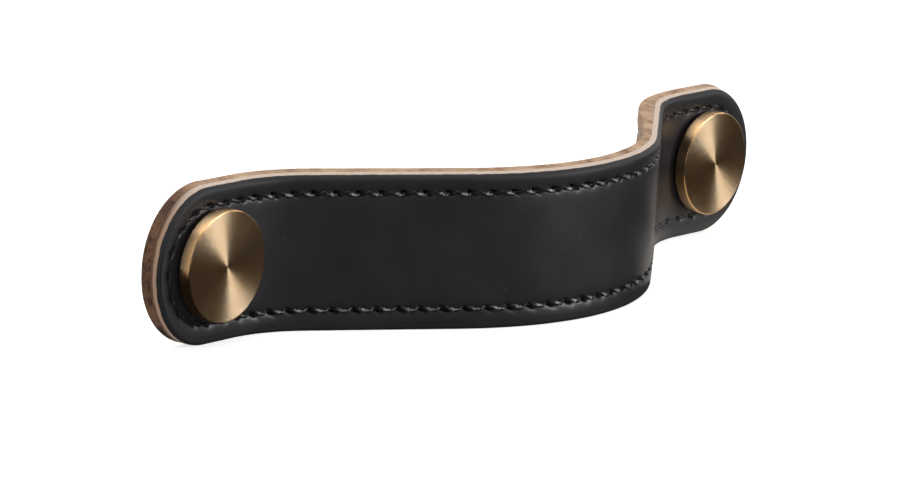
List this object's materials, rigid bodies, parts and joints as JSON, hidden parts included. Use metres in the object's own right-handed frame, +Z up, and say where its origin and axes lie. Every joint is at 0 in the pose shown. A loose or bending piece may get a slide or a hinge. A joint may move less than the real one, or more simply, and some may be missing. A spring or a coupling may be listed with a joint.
{
  "type": "leather strap pull",
  "caption": "Arched pull for a door or drawer: a sewn leather strap held at each end by a round brushed brass knob that screws on from behind.",
  "frame": {"origin": "on the door face, midway between the axes of the two knobs", "axes": "+X along the strap from the left knob to the right knob as seen from the front, +Y into the door, +Z up across the strap's width; the front of the pull faces -Y"},
  "size_m": [0.1556, 0.0297, 0.0254],
  "materials": {
    "black_leather": "smooth black top-grain leather, semi-matt, with a pale cut edge",
    "tan_leather": "undyed vegetable-tanned leather with a fibrous cut edge",
    "thread": "waxed black sewing thread",
    "brass": "turned and brushed in circles, satin, unlacquered look"
  },
  "bodies": {
    "root": {"front_leather": "black_leather", "back_leather": "tan_leather", "front_thread": "thread", "back_thread": "thread", "left_knob": "brass", "right_knob": "brass"}
  },
  "joints": []
}
